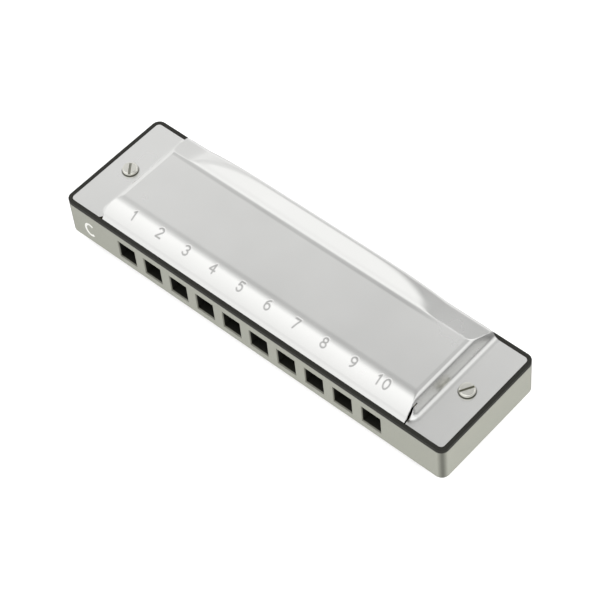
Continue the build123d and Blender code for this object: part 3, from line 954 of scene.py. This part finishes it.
# ---- stage, light and camera ----
def make_floor():
    """Plain white floor."""
    mesh = bpy.data.meshes.new("floor")
    signs = ((-1, -1), (1, -1), (1, 1), (-1, 1))
    corners = [(x * FLOOR_HALF, y * FLOOR_HALF, FLOOR_LEVEL) for x, y in signs]
    mesh.from_pydata(corners, [], [(0, 1, 2, 3)])
    material, join, shader, add = new_material("floor_white")
    shader.inputs["Base Color"].default_value = (0.92, 0.92, 0.92, 1)
    shader.inputs["Roughness"].default_value = 0.9
    shader.inputs["Emission Color"].default_value = (1, 1, 1, 1)
    shader.inputs["Emission Strength"].default_value = 0.4
    mesh.materials.append(material)
    floor = link(bpy.data.objects.new("floor", mesh))
    floor.visible_glossy = False


def make_world():
    """A bright soft tent with a dim patch overhead, a dim band behind and dark ground at the right.

    Everything is placed by the direction it lies in: x, y and z are its direction cosines. Tones are
    stored at half their value, because a ramp holds no more than 1, and the strength doubles them.
    """
    world = bpy.data.worlds.new("studio")
    bpy.context.scene.world = world
    world.use_nodes = True
    tree = world.node_tree
    join = tree.links.new
    background = tree.nodes["Background"]

    def add(kind, **settings):
        node = tree.nodes.new(kind)
        for key, value in settings.items():
            setattr(node, key, value)
        return node

    def span(value, edges):
        node = add("ShaderNodeMapRange", interpolation_type="SMOOTHSTEP")
        node.inputs["From Min"].default_value = edges[0]
        node.inputs["From Max"].default_value = edges[1]
        join(value, node.inputs["Value"])
        return node.outputs["Result"]

    def product(*values):
        return calc(add, join, "MULTIPLY", *values)

    def mix(factor, before, grey):
        node = add("ShaderNodeMix", data_type="RGBA")
        join(factor, node.inputs["Factor"])
        join(before, node.inputs["A"])
        node.inputs["B"].default_value = (grey, grey, grey, 1)
        return node.outputs["Result"]

    coords = add("ShaderNodeTexCoord")
    parts = add("ShaderNodeSeparateXYZ")
    join(coords.outputs["Generated"], parts.inputs["Vector"])
    x, y, z = (parts.outputs[axis] for axis in "XYZ")
    apart = add("ShaderNodeVectorMath", operation="SUBTRACT")
    apart.inputs[1].default_value = PATCH_MIDDLE
    join(coords.outputs["Generated"], apart.inputs[0])
    stretched = add("ShaderNodeVectorMath", operation="MULTIPLY")
    stretched.inputs[1].default_value = PATCH_STRETCH
    join(apart.outputs["Vector"], stretched.inputs[0])
    distance = add("ShaderNodeVectorMath", operation="LENGTH")
    join(stretched.outputs["Vector"], distance.inputs[0])
    shade = ramp(add, [(far / 2, grey / 2) for far, grey in PATCH_TONES])
    join(calc(add, join, "DIVIDE", distance.outputs["Value"], 2.0), shade.inputs["Fac"])
    colour = shade.outputs["Color"]
    band = product(span(z, BAND_TOP_Z), span(z, BAND_FOOT_Z))
    band = product(band, product(span(y, BAND_FRONT_Y), span(x, BAND_RIGHT_X)))
    share = calc(add, join, "MULTIPLY_ADD", span(x, BAND_LEFT_X), BAND_LEFT_SHARE - 1, 1.0)
    colour = mix(product(band, share), colour, BAND_BEHIND / 2)
    colour = mix(span(x, SKY_RIGHT_X), colour, SKY_AT_ENDS / 2)
    colour = mix(span(x, SKY_LEFT_X), colour, SKY_AT_ENDS / 2)
    colour = mix(span(z, FLOOR_SEEN_Z), colour, FLOOR_SEEN / 2)
    ground = product(span(z, GROUND_Z), span(x, GROUND_X))
    colour = mix(ground, colour, DARK_GROUND / 2)
    join(colour, background.inputs["Color"])
    background.inputs["Strength"].default_value = 2.0


def make_camera():
    """A long lens that looks down from the front right, rolled a little."""
    back = Vector((
        math.sin(CAMERA_AZIMUTH) * math.cos(CAMERA_ELEVATION),
        -math.cos(CAMERA_AZIMUTH) * math.cos(CAMERA_ELEVATION),
        math.sin(CAMERA_ELEVATION),
    ))
    level = Vector((math.cos(CAMERA_AZIMUTH), math.sin(CAMERA_AZIMUTH), 0))
    up = back.cross(level)
    right = math.cos(CAMERA_ROLL) * level + math.sin(CAMERA_ROLL) * up
    rolled_up = -math.sin(CAMERA_ROLL) * level + math.cos(CAMERA_ROLL) * up
    rotation = Matrix((right, rolled_up, back)).transposed().to_4x4()
    position = (Vector(CAMERA_TARGET) + back * CAMERA_DISTANCE) * MM
    camera = bpy.data.cameras.new("camera")
    camera.sensor_width = SENSOR_WIDTH
    camera.sensor_fit = "HORIZONTAL"
    camera.lens = CAMERA_LENS
    camera.clip_start = 0.01
    camera.clip_end = 20
    obj = link(bpy.data.objects.new("camera", camera))
    obj.matrix_world = Matrix.Translation(position) @ rotation
    bpy.context.scene.camera = obj


def make_light(name, position, aim, size, power):
    """A square soft light that isn't seen in reflections."""
    light = bpy.data.lights.new(name, "AREA")
    light.shape = "SQUARE"
    light.size = size
    light.energy = power
    obj = link(bpy.data.objects.new(name, light))
    obj.location = position
    obj.rotation_euler = (Vector(aim) - Vector(position)).to_track_quat("-Z", "Y").to_euler()
    obj.visible_glossy = False


make_camera()
steel = steel_material()
brass = brass_material()
nickel = nickel_material()
dress("comb", comb_material())
dress("upper_frame", black_material(), 0.12)
for name in ("upper_reed_plate", "lower_reed_plate", "blow_reed_pads", "draw_reed_pads",
             "blow_reed_rivets", "draw_reed_rivets", "upper_plate_nails", "lower_plate_nails"):
    dress(name, brass)
for name in ("left_cover_bolt", "right_cover_bolt", "left_cover_nut", "right_cover_nut"):
    dress(name, nickel)
upper = make_cover("upper_cover_sheet", UPPER_TAB, 1, True, steel)
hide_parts("upper_cover_plate")
lower = make_cover("lower_cover_sheet", LOWER_TAB, -1, False, steel)
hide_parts("lower_cover_plate")
make_hem("upper_cover_hem", UPPER_TAB, 1, steel)
make_hem("lower_cover_hem", LOWER_TAB, -1, steel)
make_letter_mark(print_material())
for node in sorted(frame["nodes"]):
    if "_reed_" in node and node.split("_")[-1].isdigit():
        make_reed(node, brass)
make_floor()
make_world()
make_light("key", KEY_POSITION, (0, 0, 0), KEY_SIZE, KEY_POWER)
bpy.context.scene.view_settings.view_transform = "Standard"
